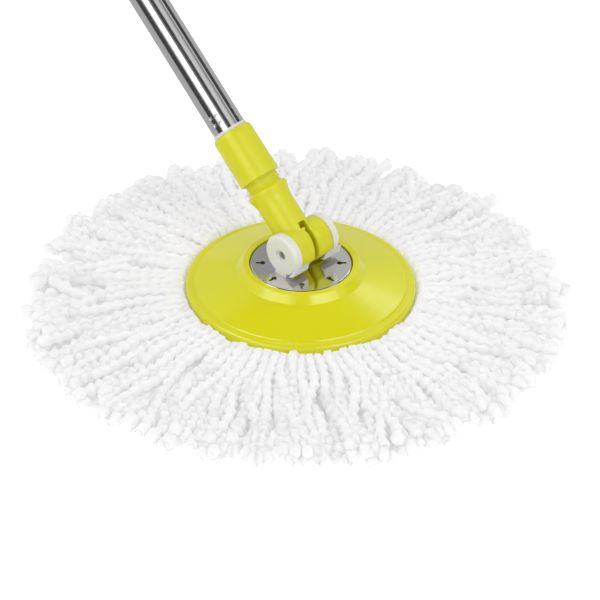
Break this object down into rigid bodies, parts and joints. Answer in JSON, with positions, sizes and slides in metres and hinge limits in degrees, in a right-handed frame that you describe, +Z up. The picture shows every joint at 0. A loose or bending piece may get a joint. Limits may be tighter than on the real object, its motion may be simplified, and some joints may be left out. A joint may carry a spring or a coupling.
{
  "type": "spin mop",
  "caption": "Spin mop: round yarn head under a lime conical plate, polished disc, white swivel yoke with a tilting fork joint, threaded collar and telescopic steel handle.",
  "frame": {"origin": "centre of the mop head at floor level", "axes": "+Z up, tilt pin along Y, handle leans towards -X, 48.3 degrees from upright at rest"},
  "size_m": [0.8311, 0.372, 0.6314],
  "materials": {
    "yarn": "chunky white microfibre yarn",
    "white_ring": "moulded, matt",
    "lime_plate": "glossy lime green",
    "lime_fork": "satin gloss lime green",
    "polished_steel": "mirror polished stainless steel",
    "polished_tube": "polished stainless tube",
    "dark_steel": "plain steel",
    "white_pom": "milky white acetal",
    "grip_rubber": "soft matt grip"
  },
  "bodies": {
    "refill": {"mop_fringe": "yarn", "refill_top_ring": "white_ring", "refill_bottom_ring": "white_ring"},
    "plate": {"base_plate": "lime_plate"},
    "yoke": {"swivel_yoke": "white_pom", "steel_disc": "polished_steel", "pivot_pin": "dark_steel", "thrust_washer": "dark_steel", "retainer_cap": "white_pom", "hub_screw": "dark_steel"},
    "lower_handle": {"fork_connector": "lime_fork", "tube_insert": "white_pom", "lower_tube": "polished_tube", "lock_body": "lime_fork", "lock_collet": "white_pom"},
    "bush": {"collar_bush": "white_pom"},
    "collar": {"collar_nut": "lime_fork"},
    "lock": {"lock_collar": "lime_fork"},
    "upper_pole": {"upper_tube": "polished_tube", "guide_bush": "white_pom", "grip_sleeve": "grip_rubber", "end_cap": "lime_fork"}
  },
  "joints": [
    {"name": "plate_release", "type": "slide", "parent": "refill", "child": "plate", "axis": [0, 0, 1], "range_m": [0, 0.03]},
    {"name": "head_swivel", "type": "hinge", "parent": "plate", "child": "yoke", "pos_m": [0, 0, 0.0386], "axis": [0, 0, 1], "continuous": true},
    {"name": "handle_tilt", "type": "hinge", "parent": "yoke", "child": "lower_handle", "pos_m": [0, 0, 0.0553], "axis": [0, 1, 0], "range_deg": [-40, 105]},
    {"name": "collar_lift", "type": "slide", "parent": "lower_handle", "child": "bush", "axis": [-0.7466, 0, 0.6652], "range_m": [0, 0.009]},
    {"name": "collar_turn", "type": "hinge", "parent": "bush", "child": "collar", "pos_m": [-0.0545, 0, 0.10386], "axis": [-0.7466, 0, 0.6652], "range_deg": [0, 1295]},
    {"name": "lock_turn", "type": "hinge", "parent": "lower_handle", "child": "lock", "pos_m": [-0.50398, 0, 0.50433], "axis": [-0.7466, 0, 0.6652], "range_deg": [0, 120]},
    {"name": "pole_extend", "type": "slide", "parent": "lower_handle", "child": "upper_pole", "axis": [-0.7466, 0, 0.6652], "range_m": [0, 0.4]}
  ],
  "couplings": [
    {"joint": "collar_lift", "follows": "collar_turn", "m_per_rad": 0.00039789}
  ]
}
